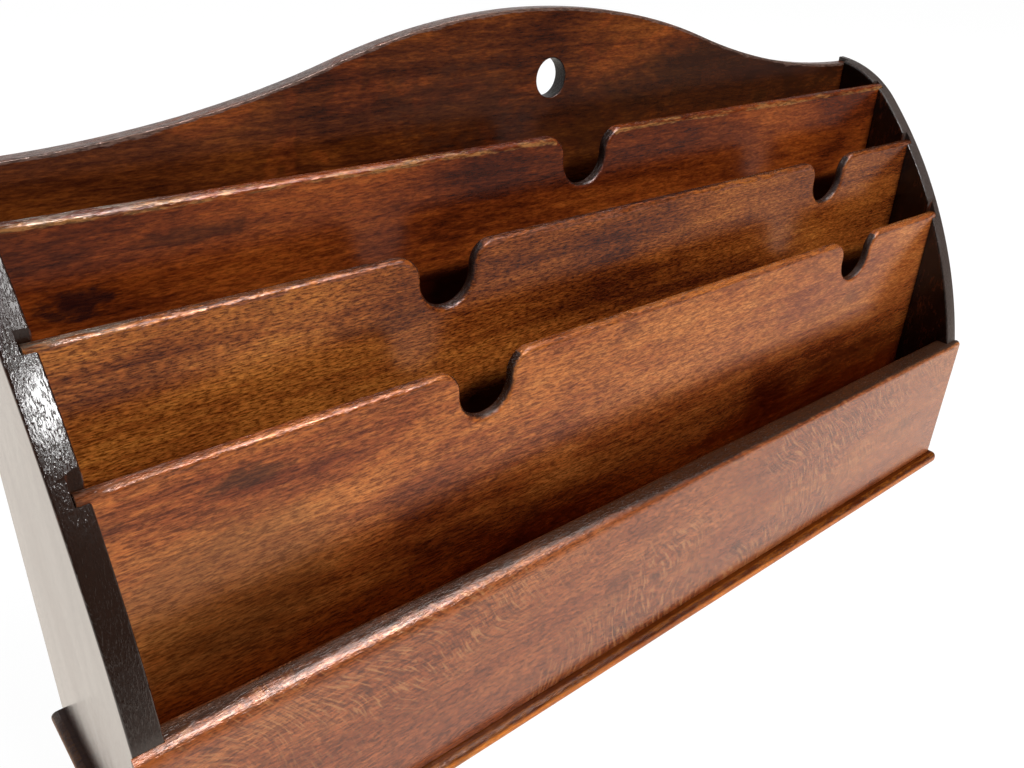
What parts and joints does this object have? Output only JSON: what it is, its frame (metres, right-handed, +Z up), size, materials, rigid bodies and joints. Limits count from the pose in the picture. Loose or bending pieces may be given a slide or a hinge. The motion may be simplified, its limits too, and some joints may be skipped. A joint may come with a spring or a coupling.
{
  "type": "letter rack",
  "caption": "Wooden desk letter rack with curved sides, stepped upright dividers with thumb notches, a low front board and a serpentine back with a hanging hole.",
  "frame": {"origin": "middle of the base board's underside, on the surface the rack stands on", "axes": "+Z up, -Y towards the user at the low front board, +X to the user's right along the width"},
  "size_m": [0.3466, 0.0828, 0.1854],
  "materials": {
    "base_wood": "stained hardwood under a glossy hand-rubbed polish, worn along its edges",
    "side_wood": "stained hardwood under a glossy hand-rubbed polish, worn along its edges",
    "back_wood": "stained hardwood under a glossy hand-rubbed polish, worn along its edges",
    "front_wood": "stained hardwood under a glossy hand-rubbed polish, worn along its edges",
    "divider_wood": "stained hardwood under a glossy hand-rubbed polish, worn along its edges",
    "pin_steel": "dull drawn steel"
  },
  "bodies": {
    "root": {"base_board": "base_wood", "left_side": "side_wood", "right_side": "side_wood", "back_board": "back_wood", "front_board": "front_wood", "back_divider": "divider_wood", "middle_divider": "divider_wood", "front_divider": "divider_wood", "base_pins": "pin_steel", "back_pins": "pin_steel", "front_pins": "pin_steel"}
  },
  "joints": []
}
